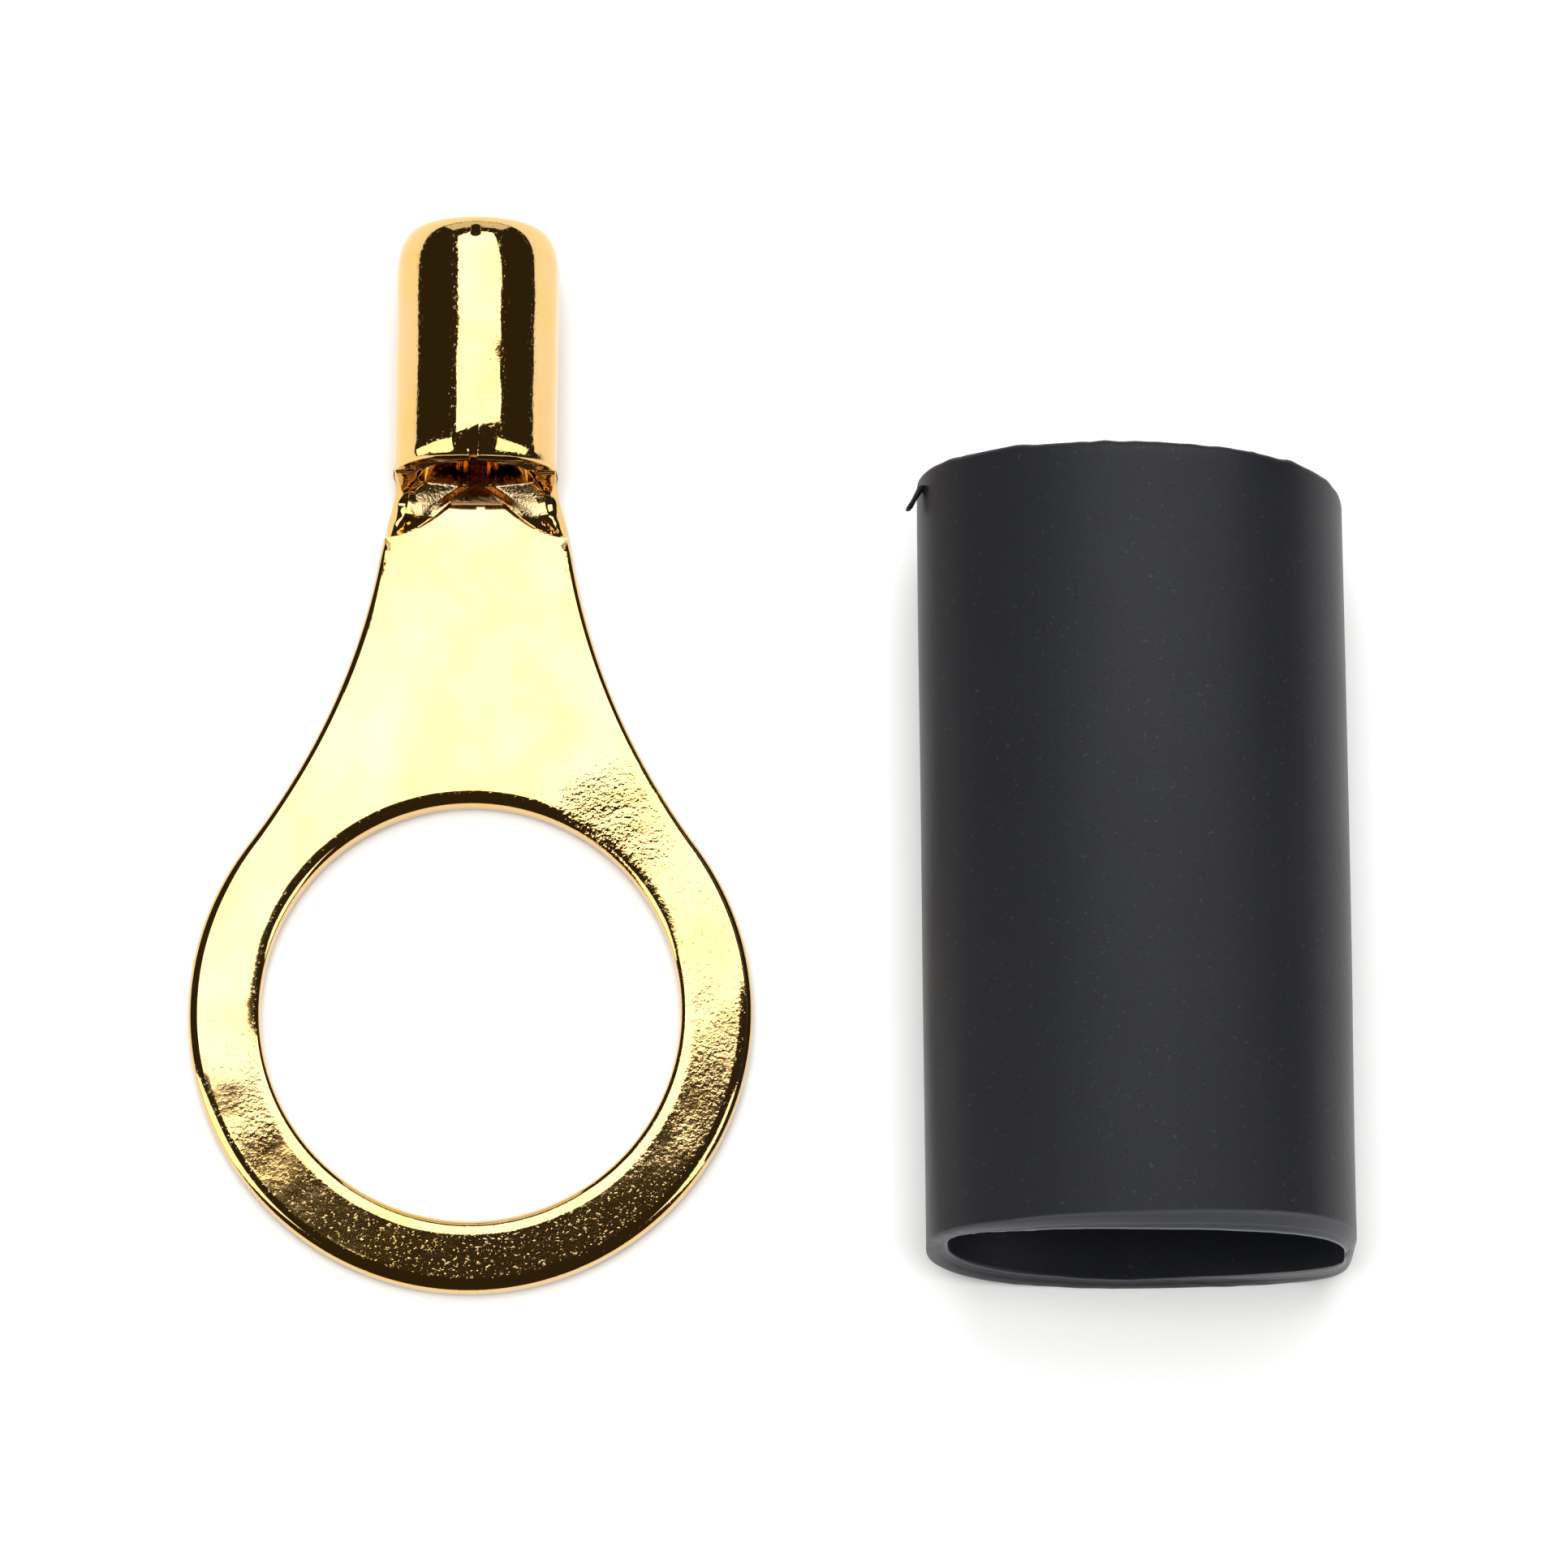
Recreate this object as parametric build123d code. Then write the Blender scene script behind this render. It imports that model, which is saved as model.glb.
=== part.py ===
from build123d import *
import math
import os

# Ring crimp terminal for a 10 mm stud, with the loose insulating sleeve that covers its barrel.
#
# Millimetres. The origin is the centre of the stud hole on the terminal's underside.
# +Y runs along the tongue to the barrel's wire end, +Z is up off the face that meets the stud's seat,
# and the sleeve lies on the same level at +X, nearly parallel to the terminal.

# Sheet and stud ring
SHEET = 0.8                # thickness of the copper strip
STUD_HOLE_R = 5.25
RING_R = 7.05
EDGE_ROUND = 0.12          # rounding that blanking leaves on the upper edges

# Tongue: two concave flanks, tangent to the ring, that narrow towards the barrel
FLANK_R = 17.2
FLANK_ANGLE = 37.0         # degrees above the X axis at which ring and flank meet
CURL_Y = 12.1              # the strip's edges start to curl up here
ROOT_Y = 14.6              # the flat strip is lost inside the barrel's wall here
ROOT_HALF = 1.0

# Barrel: the strip rolled into a tube whose underside is level with the tongue's
BARREL_R = 2.05
BORE_R = BARREL_R - SHEET
TROUGH_R = BORE_R + 0.1    # the open trough widens towards the tongue, which leaves a shallow step
LIP_Y = 13.5               # front end of the closed tube
LIP_Z = 2.25               # height at which the lip turns into the sloping side walls
BARREL_END_Y = 19.8
REAR_ROUND = 0.7           # rounding of the wire end's outer edge
SEAM_WIDTH = 0.25

# Sleeve: soft tube resting as an oval, squarer below, both ends cut a little out of square
SLEEVE_WIDTH = 10.55
SLEEVE_HEIGHT = 7.8
SLEEVE_WALL = 0.5
SLEEVE_LENGTH = 19.0
SLEEVE_CENTRE = (16.46, 2.9)
SLEEVE_TURN = 0.85         # degrees, anticlockwise seen from above
TOP_POWER = 2.0            # superellipse powers of the oval: 2 is an ellipse, more is squarer
LOW_RIGHT_POWER = 3.0
LOW_LEFT_POWER = 2.6
OVAL_POINTS = 48
NEAR_CUT = (3.8, 1.2)      # degrees: lean, which puts the top further along +Y, and yaw, right side nearer
FAR_CUT = (10.0, 3.0)

CLEAR = 2.0                # how far cutting tools run past the metal


def flank_centre():
    angle = math.radians(FLANK_ANGLE)
    reach = RING_R + FLANK_R
    return reach * math.cos(angle), reach * math.sin(angle)


def flank_x(y):
    """Half width of the tongue at a height y along it."""
    centre_x, centre_y = flank_centre()
    return centre_x - math.sqrt(FLANK_R**2 - (y - centre_y) ** 2)


def tongue_face():
    """Outline of the flat strip: ring, flanks, and a taper that ends under the barrel."""
    angle = math.radians(FLANK_ANGLE)
    join_x = RING_R * math.cos(angle)
    join_y = RING_R * math.sin(angle)
    middle_y = (join_y + CURL_Y) / 2
    edges = [ThreePointArc((join_x, join_y), (0, -RING_R), (-join_x, join_y))]
    for side in (1, -1):
        start = (side * join_x, join_y)
        middle = (side * flank_x(middle_y), middle_y)
        curl = (side * flank_x(CURL_Y), CURL_Y)
        edges.append(ThreePointArc(start, middle, curl))
        edges.append(Line(curl, (side * ROOT_HALF, ROOT_Y)))
    edges.append(Line((ROOT_HALF, ROOT_Y), (-ROOT_HALF, ROOT_Y)))
    return make_face(edges)


def tongue():
    """Flat strip with the stud hole, its upper arcs rounded by the punch."""
    strip = extrude(tongue_face(), SHEET)
    strip -= Pos(0, 0, SHEET / 2) * Cylinder(STUD_HOLE_R, SHEET + CLEAR)
    upper = strip.faces().sort_by(Axis.Z)[-1]
    arcs = upper.edges().filter_by(GeomType.CIRCLE)
    return fillet(arcs, EDGE_ROUND)


def along_barrel(shape, middle_y):
    """Turns a shape made along Z to lie along -Y, centred on the barrel's axis."""
    return Pos(0, middle_y, BARREL_R) * Rot(90, 0, 0) * shape


def front_cutter():
    """Everything above the sloping side walls and in front of the lip."""
    front = CURL_Y - CLEAR
    top = 2 * BARREL_R + CLEAR
    points = [(front, SHEET), (CURL_Y, SHEET), (LIP_Y, LIP_Z), (LIP_Y, top), (front, top)]
    outline = Plane.YZ * Polyline(*points, close=True)
    return extrude(make_face(outline), 2 * BARREL_R, both=True)


def rolled_tube():
    """Barrel with its rounded wire end, open trough in front of the lip, and through bore."""
    tube = along_barrel(Cylinder(BARREL_R, BARREL_END_Y - CURL_Y), (CURL_Y + BARREL_END_Y) / 2)
    rear = tube.edges().filter_by(GeomType.CIRCLE).sort_by(Axis.Y)[-1]
    tube = fillet(rear, REAR_ROUND)
    tube -= front_cutter()
    return tube - bore()


def bore():
    """Wire bore of the closed tube, running on in front of the lip as the flared trough."""
    tube_length = BARREL_END_Y - LIP_Y + CLEAR
    hole = along_barrel(Cylinder(BORE_R, tube_length), LIP_Y + tube_length / 2)
    trough = Cone(BORE_R, TROUGH_R, LIP_Y - CURL_Y)
    return hole + along_barrel(trough, (CURL_Y + LIP_Y) / 2)


def seam_slot():
    """Gap between the strip's two edges, along the top of the barrel."""
    length = BARREL_END_Y - CURL_Y + CLEAR
    box = Box(SEAM_WIDTH, length, BARREL_R)
    return Pos(0, (CURL_Y + BARREL_END_Y) / 2, 1.5 * BARREL_R) * box


def ring_terminal():
    return (tongue() + rolled_tube()) - bore() - seam_slot()


def seam_braze():
    """Filler metal that closes the seam, flush with the barrel inside and out."""
    return rolled_tube() & seam_slot()


def oval_point(turn):
    """Point (x, z) of the sleeve's resting outline at a turn round it, in radians."""
    c, s = math.cos(turn), math.sin(turn)
    power = TOP_POWER
    if s < 0:
        power = LOW_RIGHT_POWER if c > 0 else LOW_LEFT_POWER
    x = SLEEVE_WIDTH / 2 * math.copysign(abs(c) ** (2 / power), c)
    z = SLEEVE_HEIGHT / 2 * math.copysign(abs(s) ** (2 / power), s)
    return Vector(x, z)


def oval_face(inset):
    """The outline drawn in by inset along its normals, as a face."""
    points = []
    for k in range(OVAL_POINTS):
        turn = 2 * math.pi * k / OVAL_POINTS
        ahead = oval_point(turn + 0.01) - oval_point(turn - 0.01)
        inward = Vector(-ahead.Y, ahead.X).normalized()
        points.append(oval_point(turn) + inward * inset)
    return make_face(Spline(*points, periodic=True))


def end_plane(y, lean, yaw):
    """Cutting plane of a sleeve end, in the sleeve's own axes, with its normal towards +Y."""
    slope = math.tan(math.radians(lean))
    drift = math.tan(math.radians(yaw))
    return Plane(origin=(0, y, 0), x_dir=(1, -drift, 0), z_dir=(drift, 1, -slope))


def insulating_sleeve():
    """Oval tube cut from a length of stock, turned and laid beside the terminal."""
    section = oval_face(0) - oval_face(SLEEVE_WALL)
    stock = extrude(Plane.XZ * section, SLEEVE_LENGTH, both=True)
    near = end_plane(-SLEEVE_LENGTH / 2, *NEAR_CUT)
    far = end_plane(SLEEVE_LENGTH / 2, *FAR_CUT)
    piece = split(stock, bisect_by=near, keep=Keep.TOP)
    piece = split(piece, bisect_by=far, keep=Keep.BOTTOM)
    centre_x, centre_y = SLEEVE_CENTRE
    return Pos(centre_x, centre_y, SLEEVE_HEIGHT / 2) * Rot(0, 0, SLEEVE_TURN) * piece


PARTS = {
    "ring_terminal": ring_terminal,
    "seam_braze": seam_braze,
    "insulating_sleeve": insulating_sleeve,
}

os.makedirs("parts", exist_ok=True)
for name, build in PARTS.items():
    export_step(build(), f"parts/{name}.step")
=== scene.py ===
"""Looks of the ring crimp terminal and its insulating sleeve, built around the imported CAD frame.

Meshes are worked out in millimetres and stored in metres. The terminal is one bent sheet: a flat domain
(s across, y along) is meshed once in quads and then rolled into shape.
"""

import math

import bpy
import numpy as np
from mathutils import Matrix, Vector


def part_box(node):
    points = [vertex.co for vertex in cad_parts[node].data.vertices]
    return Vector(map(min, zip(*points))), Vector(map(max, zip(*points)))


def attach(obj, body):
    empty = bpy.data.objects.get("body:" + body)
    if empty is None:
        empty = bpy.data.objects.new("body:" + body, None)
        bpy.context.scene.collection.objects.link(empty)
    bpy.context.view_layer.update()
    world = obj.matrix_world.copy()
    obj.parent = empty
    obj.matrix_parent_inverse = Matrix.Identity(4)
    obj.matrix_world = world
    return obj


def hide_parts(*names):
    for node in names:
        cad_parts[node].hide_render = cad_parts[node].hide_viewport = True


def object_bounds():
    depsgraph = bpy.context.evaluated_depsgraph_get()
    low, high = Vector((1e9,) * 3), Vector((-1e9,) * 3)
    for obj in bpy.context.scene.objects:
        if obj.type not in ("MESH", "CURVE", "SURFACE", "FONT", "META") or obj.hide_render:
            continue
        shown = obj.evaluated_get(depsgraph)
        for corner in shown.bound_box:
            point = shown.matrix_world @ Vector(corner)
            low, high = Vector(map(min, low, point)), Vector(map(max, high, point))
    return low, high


MM = 0.001
MICRON = 0.000001

# Sheet metal sizes, mm, as in the CAD source
SHEET = 0.8
HALF_SHEET = SHEET / 2
STUD_HOLE_R = 5.25
RING_R = 7.05
FLANK_R = 17.2
FLANK_ANGLE = math.radians(37.0)
CURL_Y = 12.1
BARREL_R = 2.05
BORE_R = BARREL_R - SHEET
MIDDLE_R = BARREL_R - HALF_SHEET
LIP_Y = 13.5
BARREL_END_Y = 19.75       # 0.05 inside the CAD barrel's end
SEAM_HALF = 0.125
NEARLY = 0.000001          # how close two places count as the same

# Coined end of the flat tongue, where the strip starts to curl up
COIN_Y = 12.95             # furthest point of the flat face
COIN_HALF = 0.67           # half width of the straight part of its edge
COIN_POWER = 1.9           # how the edge curves back to the strip's corners
FLAT_END_Y = LIP_Y - 0.05  # behind the flat face, the strip's flat middle narrows to nothing here
STEP_AT_CORNERS = 0.2      # step down from the flat face into the trough, at the strip's corners
STEP_IN_MIDDLE = 0.05      # and in the middle
WING_ANGLE = math.radians(95.0)   # how far round the side walls reach at the lip
WING_RISE = 0.12           # they climb the last bit to that angle within this distance of it
TROUGH_HOLLOW = 0.2        # how far the side walls are dished out towards the barrel
FACET_ANGLE = math.radians(29.0)  # the forming tool leaves a flat facet low on each side wall
FACET_HALF = math.radians(18.0)

# Rounded wire end and drooping front lip of the barrel
REAR_LONG = 1.25
REAR_DEEP = 0.68
REAR_POWER = 2.3
DROOP_LONG = 0.9
DROOP_DEEP = 0.16
DROOP_SIDE = 0.5           # share of DROOP_LONG that the droop reaches back at the barrel's sides
DROOP_TOP = 1.17           # and along the seam
SEAM_DENT = 0.02           # the lip is pressed in a little more where the seam meets it
SEAM_DENT_LONG = 0.3

# Sleeve, mm, in its own axes: x across, y along, z up from its middle
SLEEVE_WIDTH = 10.55
SLEEVE_WALL = 0.42
SLEEVE_TURN = math.radians(0.85)
SLEEVE_X = 0.015                   # to the right of the middle of the CAD sleeve's box
SLEEVE_Y = 2.9
NEAR_EDGE = (-9.28, 0.104, 0.18)   # outer edge of the near cut: middle, lean, draw-back of the sides
FAR_EDGE = (9.53, 0.176, 0.070)    # outer edge of the far cut: middle, lean and yaw
TOP_POWER = 2.06                   # the oval is squarer below, most of all at its lower right
LOW_RIGHT_POWER = 3.2
LOW_LEFT_POWER = 2.8
TOP_LEAN = 0.8                     # how far the top is pushed over to the right
CREASE_POWER = 7.0                 # the crease low on the right of the near end, and how far in it runs
CREASE_LENGTH = 7.0
BORE_RIGHT_POWER = 1.8             # the bore is rounder there, so the wall is thick in the crease


# ---------------------------------------------------------------- helpers

def smooth(x, low=0.0, high=1.0):
    """0 below low, 1 above high, with an even S between. Most fades in this file are made with it."""
    t = np.clip((np.asarray(x, float) - low) / (high - low), 0.0, 1.0)
    return t * t * (3.0 - 2.0 * t)


def bell(distance, width):
    """1 at no distance, fading evenly to almost nothing at twice the width."""
    return np.exp(-((np.asarray(distance, float) / width) ** 2))


def waves(points, count, longest, seed):
    """Smooth seeded unevenness, mostly between -1 and 1: a sum of plane waves, none longer than longest."""
    draw = np.random.default_rng(seed)
    points = np.asarray(points, float)
    total = np.zeros(len(points))
    weight = 0.0
    for _ in range(count):
        direction = draw.normal(size=points.shape[1])
        direction /= np.linalg.norm(direction)
        length = longest * draw.uniform(0.35, 1.0)
        share = length / longest
        total += share * np.sin(points @ direction * (2 * math.pi / length) + draw.uniform(0, 2 * math.pi))
        weight += share * share
    return total / math.sqrt(weight)


def make_object(name, points, faces, sharp_degrees=None):
    """Mesh object from points in mm, with smooth shading."""
    mesh = bpy.data.meshes.new(name)
    mesh.from_pydata([tuple(p * MM) for p in np.asarray(points, float)], [], faces)
    mesh.validate()
    mesh.polygons.foreach_set("use_smooth", [True] * len(mesh.polygons))
    if sharp_degrees is not None:
        mesh.set_sharp_from_angle(angle=math.radians(sharp_degrees))
    mesh.update()
    obj = bpy.data.objects.new(name, mesh)
    bpy.context.scene.collection.objects.link(obj)
    return obj


def point_values(obj, name, values):
    """A number for each vertex, which a material can read."""
    layer = obj.data.attributes.new(name, "FLOAT", "POINT")
    layer.data.foreach_set("value", np.asarray(values, np.float32))


# ---------------------------------------------------------------- the terminal's sheet

def flank_x(y):
    """Half width of the tongue."""
    reach = RING_R + FLANK_R
    centre_x = reach * math.cos(FLANK_ANGLE)
    centre_y = reach * math.sin(FLANK_ANGLE)
    return centre_x - math.sqrt(FLANK_R**2 - (y - centre_y) ** 2)


CORNER_HALF = flank_x(CURL_Y)


def flat_half(y):
    """Half width of the part of the strip that is still flat at y."""
    if y <= CURL_Y:
        return CORNER_HALF
    if y <= COIN_Y:
        rise = ((y - CURL_Y) / (COIN_Y - CURL_Y)) ** (1.0 / COIN_POWER)
        return CORNER_HALF - (CORNER_HALF - COIN_HALF) * rise
    return COIN_HALF * max(0.0, 1.0 - (y - COIN_Y) / (FLAT_END_Y - COIN_Y))


def edge_angle(y):
    """How far round the barrel the strip's edge has curled at y."""
    if y >= LIP_Y:
        return WING_ANGLE
    outer_half = CORNER_HALF + (BARREL_R - CORNER_HALF) * float(smooth(y, CURL_Y, LIP_Y - 0.1))
    reach = min(1.0, max(0.0, (outer_half - flat_half(y)) / BARREL_R))
    last_bit = float(smooth(y, LIP_Y - WING_RISE, LIP_Y))
    return math.asin(reach) * (1.0 - last_bit) + WING_ANGLE * last_bit


def edge_half(y):
    """Half width of the strip, measured along the bent sheet's middle."""
    return flat_half(y) + MIDDLE_R * edge_angle(y)


def coin_edge_y(s):
    """Where the flat face ends, at a distance s from the middle."""
    s = np.abs(s)
    share = np.clip((CORNER_HALF - s) / (CORNER_HALF - COIN_HALF), 0.0, 1.0)
    return CURL_Y + (COIN_Y - CURL_Y) * share**COIN_POWER


def rear_taper(y):
    """How far the barrel has drawn in at y, near its wire end."""
    rear = np.clip((y - (BARREL_END_Y - REAR_LONG)) / REAR_LONG, 0.0, 1.0)
    return REAR_DEEP * (1.0 - (1.0 - rear**REAR_POWER) ** (1.0 / REAR_POWER))


def lip_droop(y, angle):
    """1 at the barrel's front lip, fading to 0 further in, and reaching furthest back along the seam."""
    seamward = smooth(angle, math.radians(130), math.radians(172))
    reach_back = DROOP_LONG * (DROOP_SIDE + (DROOP_TOP - DROOP_SIDE) * seamward)
    return np.clip((LIP_Y + reach_back - y) / reach_back, 0.0, 1.0) ** 3


def outer_radius(y, angle):
    """Radius of the barrel's outside, drawn in at the wire end, over the front lip and at its seam."""
    droop = lip_droop(y, angle) * smooth(angle, math.radians(95), math.radians(150))
    dent = bell(math.pi - angle, 0.16) * bell(y - LIP_Y, SEAM_DENT_LONG)
    return BARREL_R - rear_taper(y) - DROOP_DEEP * droop - SEAM_DENT * dent


def coined_step(s, y, angle):
    """Depth of the step down from the flat face, which fades up the side walls and inside the barrel."""
    cornerward = smooth(np.abs(s), COIN_HALF, CORNER_HALF - 0.6)
    depth = STEP_IN_MIDDLE + (STEP_AT_CORNERS - STEP_IN_MIDDLE) * cornerward
    beyond = smooth(y - coin_edge_y(s), 0.0, 0.05) * (1.0 - smooth(y, LIP_Y - 0.3, LIP_Y + 2.5))
    return depth * beyond * (1.0 - smooth(angle, 1.3, 1.8))


def trough_hollow(y, angle):
    """How far the side walls are dished out, most of all next to the barrel's lip."""
    along = smooth(y, CURL_Y + 0.35, LIP_Y) * (1.0 - smooth(y, LIP_Y, LIP_Y + 2.0))
    around = smooth(angle, 0.1, 0.35) * (1.0 - smooth(angle, 1.0, 1.4))
    return TROUGH_HOLLOW * along * around


def trough_facet(y, angle):
    """Share of the bore's radius by which the flat facet comes nearer to the axis."""
    off_facet = np.clip(angle - FACET_ANGLE, -FACET_HALF, FACET_HALF)
    share = 1.0 - math.cos(FACET_HALF) / np.cos(off_facet)
    return share * smooth(y, CURL_Y + 0.3, CURL_Y + 0.6) * (1.0 - smooth(y, LIP_Y, LIP_Y + 0.5))


def bend(s, y, inner):
    """Takes domain points to space. inner is 1 on the upper or bore face, 0 on the lower or outer face."""
    s, y, inner = np.broadcast_arrays(np.asarray(s, float), np.asarray(y, float), np.asarray(inner, float))
    flat = np.array([flat_half(v) for v in y.ravel()]).reshape(y.shape)
    over = np.maximum(np.abs(s) - flat, 0.0)
    curled = (over > 0) & (y > CURL_Y)
    angle = np.where(y > CURL_Y, over / MIDDLE_R, 0.0)
    top = smooth(angle, math.radians(100), math.radians(165))

    outer_r = outer_radius(y, angle)
    inner_r = BORE_R - 0.5 * DROOP_DEEP * lip_droop(y, angle) * top
    inner_r = inner_r * (1.0 - trough_facet(y, angle)) + coined_step(s, y, angle) + trough_hollow(y, angle)
    radius = outer_r + (inner_r - outer_r) * inner
    x = np.where(curled, np.sign(s) * (flat + radius * np.sin(angle)), s)
    z = BARREL_R - radius * np.cos(angle)
    return np.stack([x, y, z], -1)


class Domain:
    """The sheet before it is bent: vertices (s, y) and quads."""

    def __init__(self):
        self.points = []
        self.quads = []

    def add(self, s, y):
        self.points.append((s, y))
        return len(self.points) - 1

    def grid(self, rows):
        """Joins consecutive rows of vertex indices into quads."""
        for low, high in zip(rows, rows[1:]):
            for k in range(len(low) - 1):
                self.quads.append((low[k], low[k + 1], high[k + 1], high[k]))

    def loops(self):
        """Boundary loops as vertex lists, with the sheet on their left."""
        follow = {}
        used = set()
        for quad in self.quads:
            for a, b in zip(quad, quad[1:] + quad[:1]):
                used.add((a, b))
        for a, b in used:
            if (b, a) not in used:
                follow[a] = b
        found = []
        while follow:
            start = next(iter(sorted(follow)))
            loop = [start]
            while follow.get(loop[-1]) not in (None, start):
                loop.append(follow[loop[-1]])
            for v in loop:
                follow.pop(v)
            found.append(loop)
        return found


ACROSS = 96                # quads across the tongue where it joins the barrel
EAR = 20                   # quads of each half of the barrel beyond the side walls
FLANK_STEPS = 46
ARC_STEPS = 190
CURL_ROWS = 84
DROOP_ROWS = 12
STRAIGHT_ROWS = 26
REAR_ROWS = 16
PLATE_ROWS = 14            # rings of vertices on the flat plate between its two edge rows
HOLE_GAP = 0.4             # how far in from the hole and from the outline those rings begin
OUTLINE_GAP = 0.35


def outline_below_curl():
    """Points down the right flank, clockwise round the ring, and up the left flank."""
    join_y = RING_R * math.sin(FLANK_ANGLE)
    ys = CURL_Y + (join_y - CURL_Y) * np.linspace(0, 1, FLANK_STEPS + 1)
    right = [(flank_x(y), y) for y in ys]
    start, stop = FLANK_ANGLE, -math.pi - FLANK_ANGLE
    turns = np.linspace(start, stop, ARC_STEPS + 1)[1:-1]
    arc = [(RING_R * math.cos(a), RING_R * math.sin(a)) for a in turns]
    left = [(-x, y) for x, y in reversed(right)]
    return right + arc + left


def barrel_rows():
    """Y of each row from the curl to the wire end, closest where the shape changes fastest."""
    curl = CURL_Y + (LIP_Y - CURL_Y) * np.linspace(0, 1, CURL_ROWS) ** 1.15
    lip = LIP_Y + DROOP_LONG * np.linspace(0, 1, DROOP_ROWS)[1:]
    straight = np.linspace(LIP_Y + DROOP_LONG, BARREL_END_Y - REAR_LONG, STRAIGHT_ROWS)[1:]
    quarter = np.linspace(0, math.pi / 2, REAR_ROWS)[1:]
    rear = BARREL_END_Y - REAR_LONG + REAR_LONG * np.sin(quarter)
    return np.concatenate([curl, lip, straight, rear])


def add_barrel(domain):
    """Adds the curl and the barrel, and returns the row of vertices where they join the flat plate."""
    share = np.linspace(-1, 1, ACROSS + 1)
    ear_share = np.linspace(0, 1, EAR + 1)[1:]
    seam_s = math.pi * MIDDLE_R - SEAM_HALF * MIDDLE_R / BARREL_R
    rows = []
    for y in barrel_rows():
        half = edge_half(y)
        row = [domain.add(c * half, y) for c in share]
        if y >= LIP_Y - NEARLY:
            left = [domain.add(-(half + (seam_s - half) * e), y) for e in ear_share]
            right = [domain.add(half + (seam_s - half) * e, y) for e in ear_share]
            row = left[::-1] + row + right
        rows.append(row)
    for low, high in zip(rows, rows[1:]):
        if len(low) < len(high):
            high = high[EAR:-EAR]
        domain.grid([low, high])
    return rows[0]


def add_plate(domain, join):
    """Adds the flat plate as columns of vertices running out from the stud hole to the outline."""
    below = outline_below_curl()
    rim = join[::-1] + [None] * (len(below) - 2)
    rim_points = [domain.points[v] for v in join][::-1] + below[::-1][1:-1]
    columns = []
    for vertex, (x, y) in zip(rim, rim_points):
        distance = math.hypot(x, y)
        width = distance - STUD_HOLE_R
        column = []
        for step in [0.0, *np.linspace(HOLE_GAP, width - OUTLINE_GAP, PLATE_ROWS)]:
            out = (STUD_HOLE_R + step) / distance
            column.append(domain.add(x * out, y * out))
        column.append(vertex if vertex is not None else domain.add(x, y))
        columns.append(column)
    domain.grid([*columns, columns[0]])


def sheet_domain():
    """The whole sheet, unbent: the barrel's rows first, then the plate that joins them."""
    domain = Domain()
    add_plate(domain, add_barrel(domain))
    return domain


# Rounding of the sheet's edges: width and depth at the upper or bore face, then at the lower or outer face
WIRE_END_ROUNDING = (0.1, 0.1, 0.05, 0.04)
LIP_ROUNDING = (0.08, 0.08, 0.09, 0.09)
SEAM_ROUNDING = (0.02, 0.02, 0.02, 0.02)
LOWER_ROUNDING = (0.08, 0.06)      # of the plate's underside, at the hole and at the outline
BURR = 0.03                        # unevenness of the rounding along the trough's side walls
ROUND_STEPS = 5


def hole_rounding(y):
    """The punch rolled the stud hole's rim over, most at its near and far points."""
    lengthwise = abs(y / STUD_HOLE_R) ** 1.5
    return 0.15 + 0.15 * lengthwise, 0.13 + 0.1 * lengthwise, *LOWER_ROUNDING


def outline_rounding(s, y):
    """The rim of the ring, flanks and side walls: narrower along the flanks, deeper on the walls."""
    flank = float(smooth(y, 3.0, 6.0))
    wing = float(smooth(y, CURL_Y - 0.5, CURL_Y + 0.5))
    width = 0.31 - 0.07 * flank + 0.04 * wing
    burr = BURR * math.sin(23.0 * y + math.copysign(2.0, s)) * wing
    return width + burr, width * (0.62 + 0.8 * wing), *LOWER_ROUNDING


def edge_rounding(s, y):
    """The rounding at a point of the sheet's boundary."""
    if math.hypot(s, y) < STUD_HOLE_R + NEARLY:
        return hole_rounding(y)
    if y > BARREL_END_Y - NEARLY:
        return WIRE_END_ROUNDING
    if abs(y - LIP_Y) < NEARLY and abs(s) > edge_half(LIP_Y) + 0.05:
        return LIP_ROUNDING
    if y > LIP_Y:
        return SEAM_ROUNDING
    return outline_rounding(s, y)


def rim_profile(width_in, depth_in, width_out, depth_out):
    """(inset, share of the way to the inner face) from the inner face round the edge to the outer face."""
    turn = np.linspace(0, math.pi / 2, ROUND_STEPS)
    first = [(width_in * (1 - math.sin(a)), 1 - depth_in * (1 - math.cos(a)) / SHEET) for a in turn]
    last = [(width_out * (1 - math.sin(a)), depth_out * (1 - math.cos(a)) / SHEET) for a in turn]
    return first + last[::-1]


def inward(domain, loop):
    """Direction into the sheet at each vertex of a loop, lengthened at corners so that insets stay even."""
    p = np.array([domain.points[v] for v in loop])
    ahead = np.roll(p, -1, 0) - p
    ahead /= np.linalg.norm(ahead, axis=1)[:, None]
    normal = np.stack([-ahead[:, 1], ahead[:, 0]], 1)
    before = np.roll(normal, 1, 0)
    total = normal + before
    return total / (1.0 + np.sum(normal * before, 1))[:, None]


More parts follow.
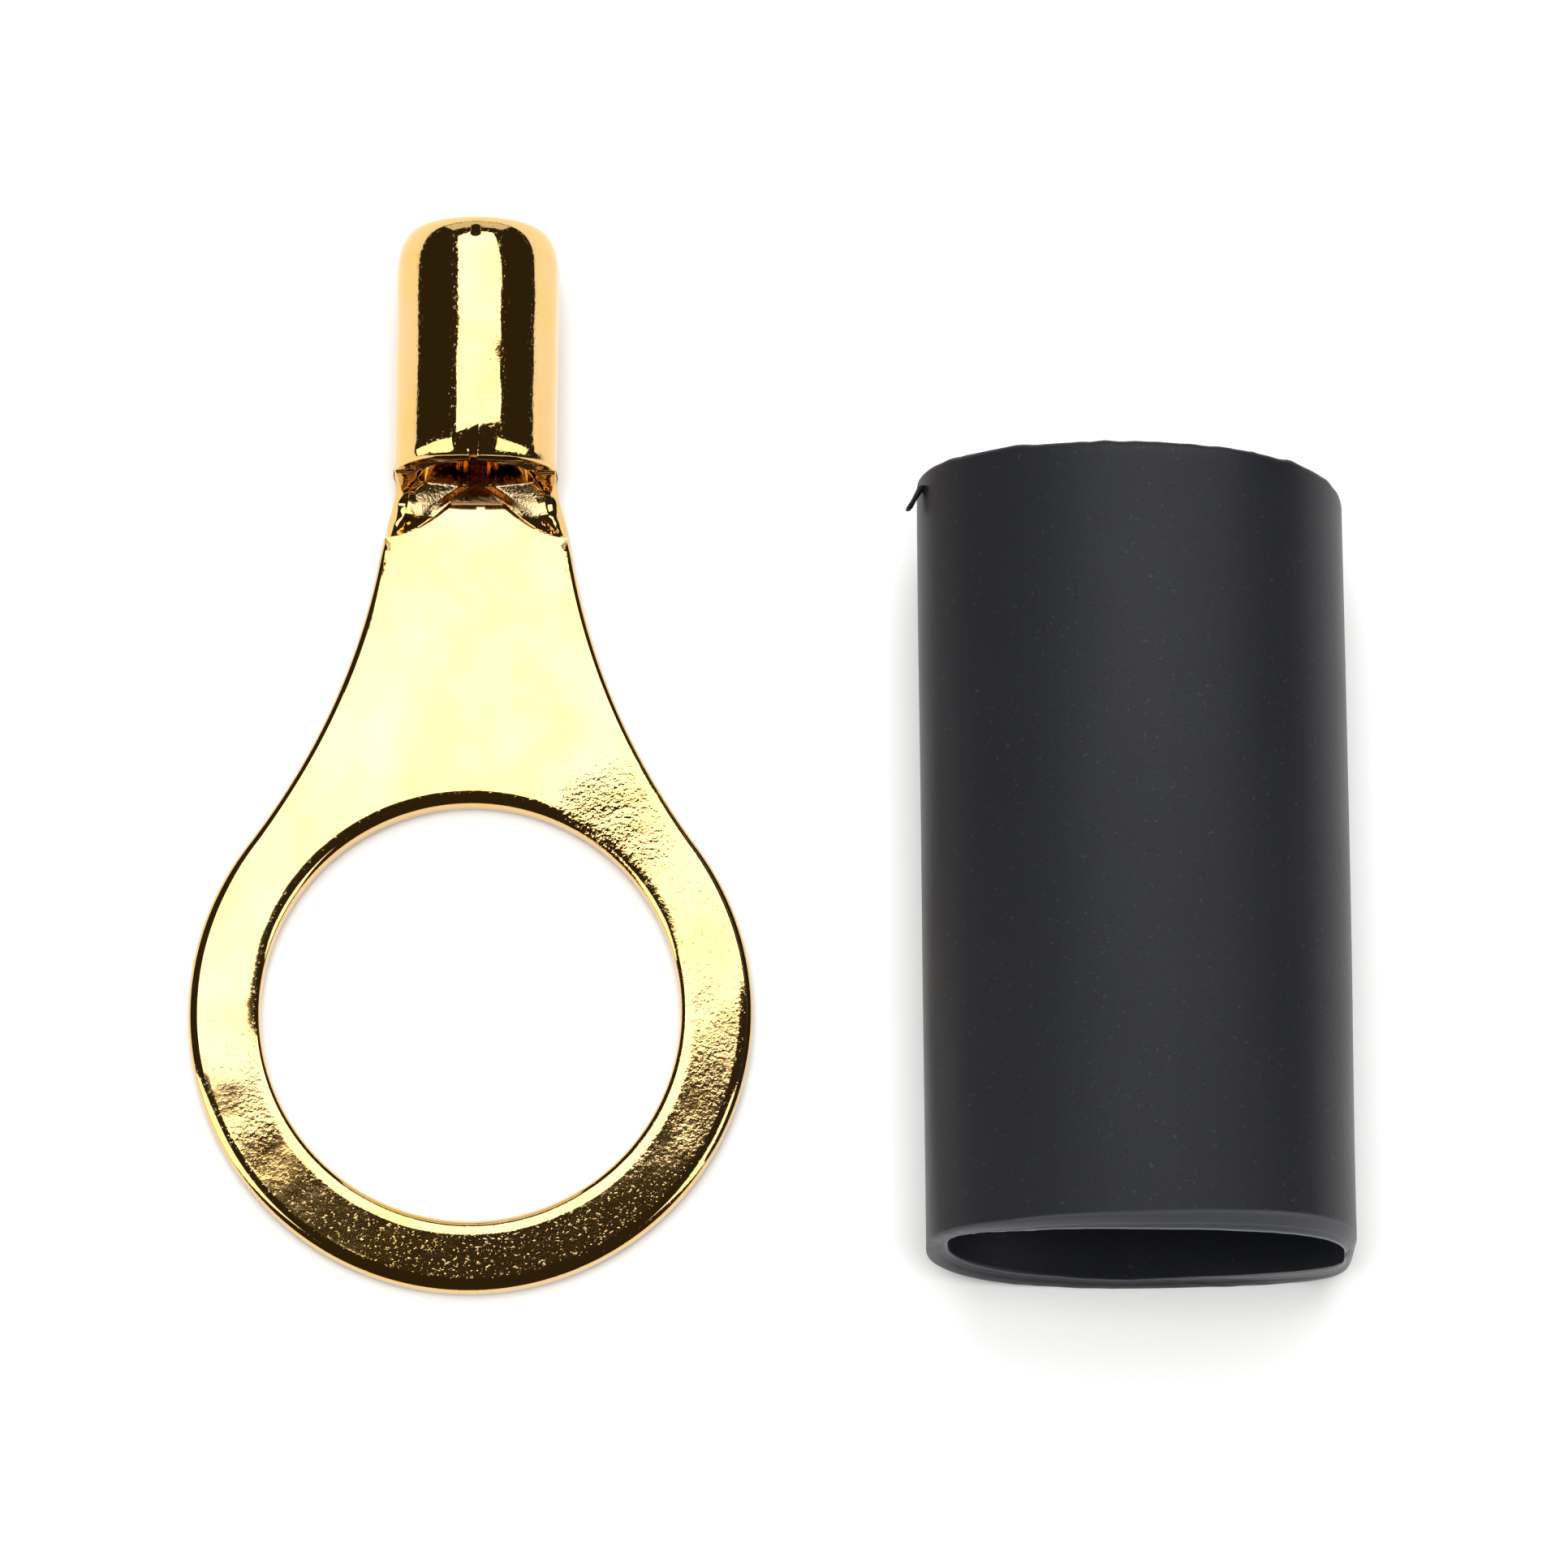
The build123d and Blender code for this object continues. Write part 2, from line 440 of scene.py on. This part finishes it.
def terminal_mesh():
    """The bent sheet with both faces and its rounded rims, as one closed surface."""
    domain = sheet_domain()
    base = np.array(domain.points)
    upper, lower = base.copy(), base.copy()
    rims = []
    for loop in domain.loops():
        into = inward(domain, loop)
        profiles = [rim_profile(*edge_rounding(*domain.points[v])) for v in loop]
        for v, n, profile in zip(loop, into, profiles):
            upper[v] = base[v] + n * profile[0][0]
            lower[v] = base[v] + n * profile[-1][0]
        rims.append((loop, into, profiles))

    count = len(base)
    points = [bend(upper[:, 0], upper[:, 1], 1.0), bend(lower[:, 0], lower[:, 1], 0.0)]
    flat = [base, base]
    faces = [tuple(q) for q in domain.quads]
    faces += [tuple(v + count for v in reversed(q)) for q in domain.quads]
    total = 2 * count
    for loop, into, profiles in rims:
        size = len(loop)
        layers = [list(loop)]
        for level in range(1, len(profiles[0]) - 1):
            place = np.array([domain.points[v] for v in loop])
            inset = np.array([p[level][0] for p in profiles])
            inner = np.array([p[level][1] for p in profiles])
            place = place + into * inset[:, None]
            points.append(bend(place[:, 0], place[:, 1], inner))
            flat.append(place)
            layers.append(list(range(total, total + size)))
            total += size
        layers.append([v + count for v in loop])
        for low, high in zip(layers, layers[1:]):
            for k in range(size):
                m = (k + 1) % size
                faces.append((low[m], low[k], high[k], high[m]))
    return np.concatenate(points), faces, np.concatenate(flat)


SWELL = 0.006              # unevenness of the barrel's outside
PLATE_WAVES = ((0.003, 9, 9.0, 3), (0.0007, 14, 2.2, 4))   # of the plate: height, count, longest wave, seed
HAMMERED = ((3.5, 5.1, 1.3, 6.5), (6.0, 0.0, 1.6, 0.65), (-5.3, -2.9, 1.3, 1.105))   # x, y, radius, depth
MOST_PITS = 7.0
BARREL_PITS = 1.5
SCORED_FROM_Y = 12.6       # the forming tool's marks begin here


def swollen(points):
    """Moves points on the barrel's outside in or out a little, as its rolling left them."""
    along = smooth(points[:, 1], LIP_Y + 0.2, LIP_Y + 1.2)
    axis = points - np.array([0.0, 0.0, BARREL_R])
    axis[:, 1] = 0.0
    reach = np.maximum(np.linalg.norm(axis, axis=1), NEARLY)
    on_outside = reach > BARREL_R - REAR_DEEP - 0.02
    swell = SWELL * waves(points, 12, 2.4, 5)
    return points + axis / reach[:, None] * (swell * along * on_outside)[:, None]


def press_marks(points, flat):
    """Slight unevenness left by stamping and rolling: in Z on the plate and radially on the barrel."""
    lift = sum(height * waves(flat, count, longest, seed) for height, count, longest, seed in PLATE_WAVES)
    points = points.copy()
    off_underside = points[:, 2] > 0.01
    points[:, 2] += lift * smooth(CURL_Y - 0.3 - flat[:, 1], 0.0, 2.0) * off_underside
    points = swollen(points)
    points[:, 2] = np.maximum(points[:, 2], 0.0)
    return points


def pitting(x, y):
    """How rough the plating is at each point: 0 is mirror smooth. The ring's right and near parts, the
    barrel, the hole's rim and a few hammered patches are rough."""
    ring = smooth(8.5 - y, 0.0, 5.0)
    right = smooth(x, -4.5, 5.5)
    near = smooth(-y, 0.5, 6.5)
    pits = ring * np.clip(0.2 + 0.5 * right + 0.8 * near, 0.0, 1.0)
    pits = np.maximum(pits, BARREL_PITS * smooth(y, CURL_Y + 0.9, LIP_Y))
    for patch_x, patch_y, radius, depth in HAMMERED:
        pits = pits + depth * bell(np.hypot(x - patch_x, y - patch_y), radius)
    worn_rim = 0.5 * (1.0 - smooth(np.hypot(x, y), STUD_HOLE_R + 0.2, STUD_HOLE_R + 0.6))
    return np.clip(pits + worn_rim, 0.0, MOST_PITS)


def tool_marks(points, x, y):
    """How deeply the forming tool scored each point, from 0 to 1: only inside the trough."""
    flat_width = np.array([flat_half(v) for v in y])
    angle = np.maximum(np.abs(x) - flat_width, 0.0) / MIDDLE_R
    beyond_step = smooth(y - coin_edge_y(x), 0.02, 0.08) * smooth(y - SCORED_FROM_Y, 0.0, 0.08)
    trough = beyond_step * smooth(LIP_Y + 0.35 - y, 0.0, 0.4)
    walls = (0.35 + 0.65 * smooth(angle, 0.1, 0.25)) * (1.0 - smooth(angle, 0.75, 0.95))
    bore_side = np.hypot(points[:, 0], points[:, 2] - BARREL_R) < BARREL_R - 0.02
    return trough * walls * bore_side


def ring_terminal():
    """The terminal's sheet, with how pitted and how scored it is at each point."""
    points, faces, flat = terminal_mesh()
    points = press_marks(points, flat)
    obj = make_object("terminal_sheet", points, faces, sharp_degrees=50)
    x, y = flat[:, 0], flat[:, 1]
    point_values(obj, "pits", pitting(x, y))
    point_values(obj, "worked", tool_marks(points, x, y))
    return obj


# ---------------------------------------------------------------- brazed seam

FILLER_ACROSS = 9          # vertices across the bead's top, and again across its underside
FILLER_OVER = 0.03         # how far the bead laps over each edge of the seam
FILLER_START = 0.1         # the bead begins this far in from the lip
FRONT_LUMP = 0.02          # height of the lump at its front end
REAR_PIT = 0.035           # depth of the pit near its rear end
PIT_FROM_END = 0.45


def filler_rows():
    """Y of each row of the bead, closest at its two ends."""
    front = LIP_Y + FILLER_START + 0.46 * np.linspace(0, 1, 12) ** 1.4
    middle = np.linspace(LIP_Y + 0.6, BARREL_END_Y - REAR_LONG, 40)[1:]
    rear = BARREL_END_Y - REAR_LONG + REAR_LONG * np.sin(np.linspace(0, 1.45, 14))[1:]
    return np.concatenate([front, middle, rear])


def tube_faces(rings, size):
    """Quads that join consecutive closed rings of vertices, and a cap at each end."""
    faces = []
    for k in range(rings - 1):
        for m in range(size):
            n = (m + 1) % size
            a, b = k * size, (k + 1) * size
            faces.append((a + m, b + m, b + n, a + n))
    last = (rings - 1) * size
    faces.append(tuple(range(size)))
    faces.append(tuple(last + m for m in reversed(range(size))))
    return faces


def seam_braze():
    """Thin bead of filler lying in the barrel's seam, with a lump at its front end and a pit at its rear."""
    ys = filler_rows()
    across = np.linspace(-1, 1, FILLER_ACROSS)
    points = []
    for y in ys:
        radius = float(outer_radius(y, math.pi))
        lump = FRONT_LUMP * bell(y - LIP_Y - FILLER_START, 0.08)
        lump -= REAR_PIT * bell(y - BARREL_END_Y + PIT_FROM_END, 0.12)
        for t in across:
            crown = 0.003 * (1 - t * t) - 0.0015 * t**4
            r = radius + crown + lump * (1 - t * t)
            x = t * (SEAM_HALF + FILLER_OVER)
            points.append((x, y, BARREL_R + math.sqrt(r * r - x * x)))
        for t in across[::-1]:
            points.append((t * (SEAM_HALF - 0.02), y, BARREL_R + BORE_R + 0.02 + 0.02 * t * t))
    faces = tube_faces(len(ys), 2 * FILLER_ACROSS)
    return make_object("seam_filler", swollen(np.array(points)), faces, sharp_degrees=50)


# ---------------------------------------------------------------- sleeve

SECTION_STEPS = 240
SLEEVE_ROWS = 70
LIP_STEPS = 14
FLASH_STEPS = 9
FLASH_SIDES = 8
FAR_DRAW = 0.12            # how far the far cut's sides stand out beyond its middle
SLEEVE_WAVES = 0.012       # unevenness of the whole tube
RIM_HIGHLIGHT_LEVEL = 0.9            # how much further the painted highlight along the mouth's inner edge is blended in


def oval(turn, height, right_power=LOW_RIGHT_POWER):
    """Outer section of the sleeve, which lies heavily on its lower half and leans a little to the right."""
    c, s = np.cos(turn), np.sin(turn)
    power = np.where(s >= 0, TOP_POWER, np.where(c > 0, right_power, LOW_LEFT_POWER))
    x = SLEEVE_WIDTH / 2 * np.sign(c) * np.abs(c) ** (2 / power)
    z = height / 2 * np.sign(s) * np.abs(s) ** (2 / power)
    x = x + TOP_LEAN * np.clip(2 * z / height, 0.0, 1.0) ** 2
    return x, z


def even_turns(count, height):
    """Angles that place points evenly round the oval."""
    fine = np.linspace(0, 2 * math.pi, 4001)
    x, z = oval(fine, height)
    walked = np.concatenate([[0.0], np.cumsum(np.hypot(np.diff(x), np.diff(z)))])
    return np.interp(np.linspace(0, walked[-1], count, endpoint=False), walked, fine)


def section(turn, height, right_power):
    """The outline and its inward normals."""
    x, z = oval(turn, height, right_power)
    tangent_x = np.roll(x, -1) - np.roll(x, 1)
    tangent_z = np.roll(z, -1) - np.roll(z, 1)
    length = np.hypot(tangent_x, tangent_z)
    return x, z, -tangent_z / length, tangent_x / length


def tears(turn):
    """Little nicks that the blade left in the mouth's inner edge, most of them high on the left."""
    comb = np.clip(np.sin(31.0 * turn) + 0.6 * np.sin(47.0 * turn + 1.0), 0.0, None)
    fray = np.abs(np.sin(58.0 * turn) * np.sin(13.0 * turn + 0.5))
    upper_left = bell(turn - 2.45, 0.42)
    lower_right = bell(turn - 5.6, 0.25)
    return 0.16 * upper_left * comb + 0.12 * lower_right * fray + 0.03 * fray


def cut_edges(turn, height):
    """Y of the outer edge of the near cut, and of the far cut, at each turn round the section."""
    near_x, near_z = oval(turn, height, CREASE_POWER)
    place = np.stack([near_x, near_z], 1)
    ragged = 0.02 * waves(place, 8, 3.0, 21) + 0.01 * waves(place, 16, 0.7, 22)
    middle, lean, draw = NEAR_EDGE
    near = middle + lean * near_z + draw * (near_x / (SLEEVE_WIDTH / 2)) ** 2 + 0.3 * ragged

    far_x, far_z = oval(turn, height)
    middle, lean, yaw = FAR_EDGE
    far = middle + lean * far_z - yaw * far_x + FAR_DRAW * (far_x / (SLEEVE_WIDTH / 2)) ** 2
    notches = np.clip(np.sin(9.0 * turn) * np.sin(23.0 * turn), 0.0, None)
    return near, far + 0.7 * np.roll(ragged, 37) + 0.03 * notches


def wall_path(turn, near, far):
    """The closed path round the tube's wall: out along the skin, over the far lip, back down the bore, and
    over the near lip. Each stage is (share of the wall's depth, Y, how much painted highlight the mouth gets
    in the material)."""
    slant = -0.09 - 0.26 * np.sin(turn) - 0.19 * np.cos(turn)
    path = []
    for share in np.linspace(0, 1, SLEEVE_ROWS):
        path.append((0.0, near + 0.1 + (far - near - 0.25) * share, 0.0))
    for a in np.linspace(0, math.pi / 2, 7)[1:]:
        path.append((0.4 * (1 - math.cos(a)), far - 0.15 * (1 - math.sin(a)), 0.0))
    for share in (0.6, 0.8, 0.96):
        path.append((share, far - 0.02 * share, 0.0))
    for share in np.linspace(0, 1, SLEEVE_ROWS // 2) ** 1.3:
        path.append((1.0, far - 0.08 - (far - near - slant - 0.5) * share, 0.0))
    nick = tears(turn)
    for share in (0.3, 0.6, 0.85, 1.0):
        path.append((1.0 + nick * share**2, near + slant + 0.42 * (1 - share) + 0.03, 0.0))
    # Painted highlight: the near cut face is coloured paler, most on its top and sides where the light
    # falls.
    cut_face_highlight = 0.4 + 0.6 * smooth(np.sin(turn), -0.5, 0.1)
    for share in np.linspace(1, 0, LIP_STEPS):
        ridge = -0.035 * math.sin(math.pi * share) + 0.03 * bell(share - 0.66, 0.07)
        corner = 0.03 * math.exp(-share / 0.05)
        # Painted highlight: the innermost band of the cut face gets the pale rim colour all round.
        rim_highlight = RIM_HIGHLIGHT_LEVEL if share > 0.9 else 0.0
        path.append((share * 0.97 + nick * share**6, near + slant * share + ridge + corner, cut_face_highlight + rim_highlight))
    return path


def sleeve_rings(height):
    """The wall path as rings of points, and the painted highlight on the mouth at every point of each ring.
    """
    turn = even_turns(SECTION_STEPS, height)
    wall = SLEEVE_WALL - 0.11 * np.cos(turn)
    near, far = cut_edges(turn, height)
    path = wall_path(turn, near, far)
    rings = []
    for depth, y, _ in path:
        creased = 1.0 - float(smooth(np.mean(y), NEAR_EDGE[0], NEAR_EDGE[0] + CREASE_LENGTH))
        power = LOW_RIGHT_POWER + (CREASE_POWER - LOW_RIGHT_POWER) * creased
        power += (BORE_RIGHT_POWER - power) * min(1.0, float(np.min(depth))) * creased
        x, z, in_x, in_z = section(turn, height, power)
        rings.append(np.stack([x + in_x * wall * depth, y, z + in_z * wall * depth], 1))
    painted_lip_light = np.concatenate([np.broadcast_to(stage[2], SECTION_STEPS) for stage in path])
    return np.array(rings), painted_lip_light


def place_sleeve(points, low, high):
    """From the sleeve's own axes to where the CAD sleeve lies, never below the floor."""
    centre = (low + high) / 2 / MM
    c, s = math.cos(SLEEVE_TURN), math.sin(SLEEVE_TURN)
    x = points[..., 0] * c - points[..., 1] * s + centre.x + SLEEVE_X
    y = points[..., 0] * s + points[..., 1] * c + SLEEVE_Y
    z = np.maximum(points[..., 2] + (high.z - low.z) / MM / 2, 0.0)
    return np.stack([x, y, z], -1)


def flash_sliver():
    """Thread of plastic left hanging from the far cut's left corner."""
    root = np.array([-SLEEVE_WIDTH / 2 + 0.12, 9.76, 0.9])
    hang = np.array([-0.36, -0.55, -0.3])
    points = []
    for t in np.linspace(0, 1, FLASH_STEPS):
        middle = root + hang * t
        radius = 0.045 + 0.06 * (1 - t) + 0.03 * bell(t - 0.85, 0.15)
        for a in 2 * math.pi * np.arange(FLASH_SIDES) / FLASH_SIDES:
            points.append(middle + radius * np.array([math.cos(a), 0.0, 1.3 * math.sin(a)]))
    faces = [face[::-1] for face in tube_faces(FLASH_STEPS, FLASH_SIDES)]
    return np.array(points), faces


def insulating_sleeve():
    """The tube and its sliver of flash, as one piece."""
    low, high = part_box("insulating_sleeve")
    height = (high.z - low.z) / MM - 0.04
    rings, painted_lip_light = sleeve_rings(height)
    count, size = rings.shape[:2]
    faces = []
    for k in range(count):
        n = (k + 1) % count
        for m in range(size):
            p = (m + 1) % size
            faces.append((k * size + m, k * size + p, n * size + p, n * size + m))
    points = rings.reshape(-1, 3)
    points[:, 2] += SLEEVE_WAVES * waves(points, 8, 14.0, 31)
    points[:, 0] += SLEEVE_WAVES * waves(points, 8, 14.0, 32)
    thread, thread_faces = flash_sliver()
    faces += [tuple(v + len(points) for v in face) for face in thread_faces]
    points = np.concatenate([points, thread])
    obj = make_object("sleeve_tube", place_sleeve(points, low, high), faces, sharp_degrees=40)
    # Painted highlights of the mouth's cut face and inner rim, read by the material.
    point_values(obj, "painted_lip_light", np.concatenate([painted_lip_light, np.zeros(len(thread))]))
    return obj


# ---------------------------------------------------------------- materials

# Colours as red, green, blue, alpha
GOLD_DEEP = (0.75, 0.49, 0.15, 1)
GOLD_PALE = (0.75, 0.51, 0.25, 1)
GOLD_SCORED = (0.85, 0.62, 0.33, 1)
BLACK = (0.0095, 0.0102, 0.0132, 1)
BLACK_SPECK = (0.024, 0.025, 0.029, 1)
# Painted highlight on the mouth's cut face
CUT_FACE_HIGHLIGHT = (0.062, 0.064, 0.072, 1)
# Painted highlight along the mouth's inner rim
RIM_HIGHLIGHT_GREY = (0.15, 0.165, 0.18, 1)
PAPER = (0.9, 0.9, 0.9, 1)


class Nodes:
    """Short hand for building a material's node tree. Every value is a socket to link or a plain value."""

    def __init__(self, name):
        self.material = bpy.data.materials.new(name)
        self.material.use_nodes = True
        self.tree = self.material.node_tree
        self.shader = self.tree.nodes["Principled BSDF"]
        self.place = self.tree.nodes.new("ShaderNodeTexCoord").outputs["Object"]

    def feed(self, socket, value):
        """Links an input to another node, or sets the input's own value."""
        if isinstance(value, bpy.types.NodeSocket):
            self.tree.links.new(value, socket)
        else:
            socket.default_value = value

    def add(self, kind, **inputs):
        node = self.tree.nodes.new("ShaderNode" + kind)
        for key, value in inputs.items():
            self.feed(node.inputs[key.replace("_", " ")], value)
        return node

    def noise(self, scale, detail, roughness, vector=None):
        vector = vector or self.place
        node = self.add("TexNoise", Scale=scale, Detail=detail, Roughness=roughness, Vector=vector)
        return node.outputs["Fac"]

    def attribute(self, name):
        node = self.add("Attribute")
        node.attribute_name = name
        return node.outputs["Fac"]

    def maths(self, operation, first, second):
        node = self.add("Math")
        node.operation = operation
        self.feed(node.inputs[0], first)
        self.feed(node.inputs[1], second)
        return node.outputs[0]

    def span(self, value, low, high, to_low, to_high):
        """Maps low..high of value to to_low..to_high, held at the ends."""
        node = self.add("MapRange", Value=value, From_Min=low, From_Max=high, To_Min=to_low, To_Max=to_high)
        return node.outputs["Result"]

    def blend(self, factor, first, second):
        """From the first colour to the second as factor goes from 0 to 1."""
        node = self.add("Mix")
        node.data_type = "RGBA"
        self.feed(node.inputs["Factor"], factor)
        self.feed(node.inputs[6], first)
        self.feed(node.inputs[7], second)
        return node.outputs[2]

    def bump(self, height, distance, under=None):
        """Normal with relief of the given depth in metres added, over the relief of an earlier bump."""
        node = self.add("Bump", Height=height, Distance=distance, Strength=1.0)
        if under is not None:
            self.feed(node.inputs["Normal"], under)
        return node.outputs["Normal"]

    def set(self, **inputs):
        for key, value in inputs.items():
            self.feed(self.shader.inputs[key.replace("_", " ")], value)


def gold_plate():
    """Bright gold plating. Fine pits and orange peel come through from the stamped copper under it."""
    n = Nodes("gold_plate")
    pits = n.attribute("pits")
    worked = n.attribute("worked")
    patchy = n.span(n.noise(420.0, 3.0, 0.6), 0.35, 0.65, 0.35, 1.0)
    rough = n.maths("ADD", n.maths("MULTIPLY", pits, patchy), worked)
    peel = n.maths("MULTIPLY", n.noise(7600.0, 2.0, 0.6), n.maths("MULTIPLY", rough, rough))
    scored = n.maths("MULTIPLY", n.noise(9000.0, 3.0, 0.7), worked)
    specks = n.span(n.noise(12000.0, 2.0, 0.6), 0.62, 0.74, 0.0, 1.0)
    specks = n.maths("MULTIPLY", specks, n.span(pits, 0.0, 1.2, 0.0, 1.2))
    normal = n.bump(n.noise(700.0, 2.0, 0.5), 3.5 * MICRON)
    normal = n.bump(peel, 1.7 * MICRON, under=normal)
    normal = n.bump(specks, 1.0 * MICRON, under=normal)
    normal = n.bump(scored, 18.0 * MICRON, under=normal)
    dust = n.span(specks, 0.0, 1.0, 0.045, 0.11)
    roughness = n.maths("ADD", dust, n.span(worked, 0.0, 1.0, 0.0, 0.07))
    tone = n.blend(n.span(n.noise(380.0, 3.0, 0.6), 0.3, 0.7, 0.0, 1.0), GOLD_DEEP, GOLD_PALE)
    n.set(Metallic=1.0, Roughness=roughness, Normal=normal, Base_Color=n.blend(worked, tone, GOLD_SCORED))
    return n.material


def black_tube():
    """Satin black extruded plastic: faint lengthwise draw lines, fine grain, and a few pale specks. The
    mouth's cut face and its inner rim are coloured paler, as painted highlights.
    """
    n = Nodes("black_tube")
    stretch = n.add("Mapping", Vector=n.place, Scale=(1.0, 0.06, 1.0))
    lines = n.noise(2600.0, 3.0, 0.6, stretch.outputs["Vector"])
    grain = n.noise(9000.0, 3.0, 0.6)
    broad = n.noise(260.0, 2.0, 0.5)
    specks = n.span(n.noise(8200.0, 2.0, 0.5), 0.66, 0.74, 0.0, 1.0)
    normal = n.bump(lines, 3.5 * MICRON)
    normal = n.bump(grain, 4.5 * MICRON, under=normal)
    painted_lip_light = n.attribute("painted_lip_light")
    base = n.blend(specks, BLACK, BLACK_SPECK)
    # Painted highlight: the mouth's cut face is blended towards a paler grey.
    base = n.blend(n.span(painted_lip_light, 0.0, 1.0, 0.0, 0.75), base, CUT_FACE_HIGHLIGHT)
    # Painted highlight: the inner rim is blended further towards a pale grey.
    base = n.blend(n.span(painted_lip_light, 1.0, 2.0, 0.0, 1.0), base, RIM_HIGHLIGHT_GREY)
    roughness = n.span(broad, 0.3, 0.7, 0.40, 0.46)
    n.set(Roughness=roughness, Normal=normal, Base_Color=base, Specular_IOR_Level=0.25)
    return n.material


def floor_paper():
    """Plain white sheet."""
    n = Nodes("floor_paper")
    n.set(Roughness=0.9, Base_Color=PAPER)
    return n.material


# ---------------------------------------------------------------- stage, lights, camera

FLOOR_HALF = 2.0           # metres, like all the sizes of the stage
FLOOR_DROP = 0.00001       # keeps the paper just clear of the underside


def floor():
    """Plain sheet under everything."""
    mesh = bpy.data.meshes.new("floor")
    corners = [(-FLOOR_HALF, -FLOOR_HALF, 0), (FLOOR_HALF, -FLOOR_HALF, 0),
               (FLOOR_HALF, FLOOR_HALF, 0), (-FLOOR_HALF, FLOOR_HALF, 0)]
    mesh.from_pydata(corners, [], [(0, 1, 2, 3)])
    obj = bpy.data.objects.new("floor", mesh)
    bpy.context.scene.collection.objects.link(obj)
    obj.data.materials.append(floor_paper())
    obj.location.z = -FLOOR_DROP


# Lights: middle and size in metres. Glow is radiance, in watts per square metre and steradian.
BOX_MIDDLE = (0.022, 0.3535, 0.5)
BOX_SIZE = (0.60, 0.53)
BOX_TURN = math.radians(10.5)
BOX_GLOW = 3.0
PANEL_MIDDLE = (0.465, -0.15, 0.30)
PANEL_SIZE = (0.24, 0.60)
PANEL_GLOW = 2.2
BACK_MIDDLE = (0.0, 0.8, 0.2)
BACK_SIZE = (0.9, 0.34)
BACK_GLOW = 0.9
FILL_MIDDLE = (0.004, -0.02, 0.55)
FILL_SIZE = (0.26, 0.24)
FILL_GLOW = 10.8
ROOM = (0.033, 0.026, 0.014, 1)


def area_light(name, centre, size, glow):
    """Rectangular light of a given radiance."""
    light = bpy.data.lights.new(name, "AREA")
    light.shape = "RECTANGLE"
    light.size, light.size_y = size
    light.energy = glow * math.pi * size[0] * size[1]
    obj = bpy.data.objects.new(name, light)
    bpy.context.scene.collection.objects.link(obj)
    obj.location = centre
    return obj


def lights():
    """A soft box overhead, reaching back from just beyond the ring, an upright panel at each front corner, a
    dim one across the back, and a small strong one straight above that lights the paper but is kept out of
    the mirror-like gold."""
    box = area_light("soft_box", BOX_MIDDLE, BOX_SIZE, BOX_GLOW)
    box.rotation_euler = (0.0, 0.0, BOX_TURN)
    across, along, up = PANEL_MIDDLE
    for side in (-1, 1):
        panel = area_light("front_panel", (side * across, along, up), PANEL_SIZE, PANEL_GLOW)
        aim = Vector((-side * across, -along * 0.2, -up))
        panel.rotation_euler = aim.to_track_quat("-Z", "Y").to_euler()
    back = area_light("back_panel", BACK_MIDDLE, BACK_SIZE, BACK_GLOW)
    back.rotation_euler = Vector((0.0, -1.0, 0.0)).to_track_quat("-Z", "Z").to_euler()
    fill = area_light("overhead_fill", FILL_MIDDLE, FILL_SIZE, FILL_GLOW)
    fill.visible_glossy = False
    world = bpy.data.worlds.new("dark_room")
    world.use_nodes = True
    world.node_tree.nodes["Background"].inputs["Color"].default_value = ROOM
    bpy.context.scene.world = world


VIEW_TILT = math.radians(11.0)
VIEW_ROLL = math.radians(0.35)
VIEW_DISTANCE = 0.219
VIEW_SHIFT = (0.00038, -0.00017)   # where the view is centred, off the middle of the object
LENS = 199.7
SENSOR = 36.0


def camera(low, high):
    """Long lens looking almost straight down, leaning back from the near side."""
    middle = (low + high) / 2
    target = Vector((middle.x + VIEW_SHIFT[0], middle.y + VIEW_SHIFT[1], low.z))
    back = Vector((0.0, -math.sin(VIEW_TILT), math.cos(VIEW_TILT)))
    level = Vector((1.0, 0.0, 0.0))
    over = back.cross(level)
    right = level * math.cos(VIEW_ROLL) + over * math.sin(VIEW_ROLL)
    up = over * math.cos(VIEW_ROLL) - level * math.sin(VIEW_ROLL)
    data = bpy.data.cameras.new("camera")
    data.lens = LENS
    data.sensor_width = SENSOR
    data.clip_start = 0.01
    obj = bpy.data.objects.new("camera", data)
    bpy.context.scene.collection.objects.link(obj)
    pose = Matrix((right, up, back)).transposed().to_4x4()
    pose.translation = target + back * VIEW_DISTANCE
    obj.matrix_world = pose
    bpy.context.scene.camera = obj


# ---------------------------------------------------------------- assembly

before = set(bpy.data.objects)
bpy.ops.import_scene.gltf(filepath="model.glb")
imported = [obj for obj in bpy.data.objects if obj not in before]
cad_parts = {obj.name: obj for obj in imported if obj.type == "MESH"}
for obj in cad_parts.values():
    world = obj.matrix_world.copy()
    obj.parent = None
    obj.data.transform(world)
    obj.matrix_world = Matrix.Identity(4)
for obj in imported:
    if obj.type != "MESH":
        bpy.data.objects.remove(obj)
cad_low, cad_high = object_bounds()

camera(cad_low, cad_high)
floor()
lights()
bpy.context.scene.view_settings.view_transform = "Standard"

gold = gold_plate()
black = black_tube()

sheet = ring_terminal()
filler = seam_braze()
tube = insulating_sleeve()
for piece, node, body, slot, material in (
    (sheet, "ring_terminal", "terminal", "gold_plate", gold),
    (filler, "seam_braze", "terminal", "gold_plate", gold),
    (tube, "insulating_sleeve", "sleeve", "black_tube", black),
):
    piece.data.materials.append(material)
    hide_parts(node)
    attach(piece, body)
